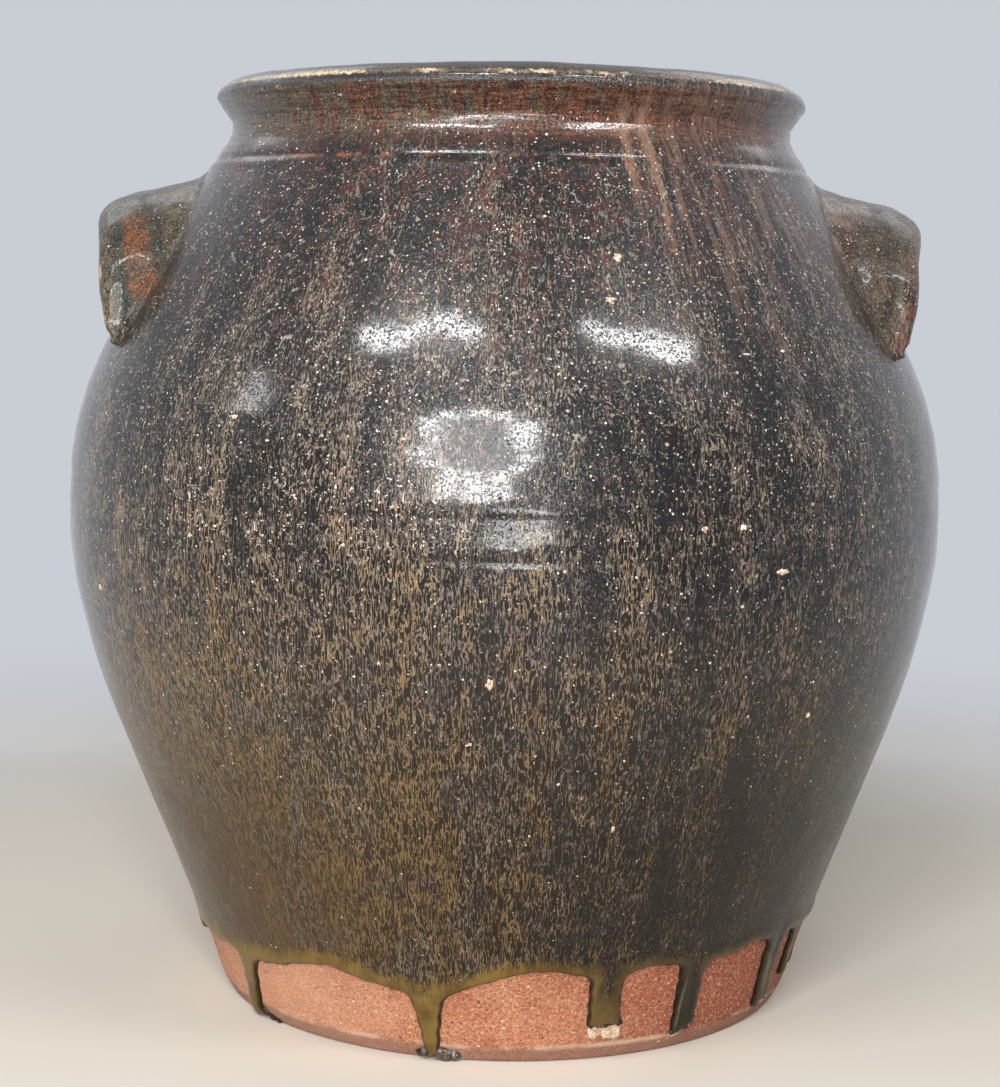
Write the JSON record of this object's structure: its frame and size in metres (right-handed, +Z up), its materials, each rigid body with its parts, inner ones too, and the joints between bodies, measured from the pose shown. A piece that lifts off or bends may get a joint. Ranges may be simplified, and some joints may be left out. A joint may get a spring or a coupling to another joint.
{
  "type": "storage jar",
  "caption": "Large round-bellied stoneware storage jar with a flared lip, slab lug handles and a dark runny glaze over a bare clay foot.",
  "frame": {"origin": "centre of the flat foot, on the surface that the jar stands on", "axes": "+Z up along the jar's axis, towards the mouth; the lug handles lie along +X and -X, and the front is -Y"},
  "size_m": [0.3534, 0.3534, 0.3669],
  "materials": {
    "bare_clay": "rough, unglazed, orange-red with pale grit",
    "dark_glaze": "glossy near-black brown with olive and rust streaks",
    "glaze_lining": "glossy dark brown"
  },
  "bodies": {
    "root": {"lower_wall": "bare_clay", "upper_wall": "bare_clay", "lug_left": "bare_clay", "lug_right": "bare_clay", "outer_glaze": "dark_glaze", "inner_glaze": "glaze_lining", "lug_left_glaze": "dark_glaze", "lug_right_glaze": "dark_glaze"}
  },
  "joints": []
}
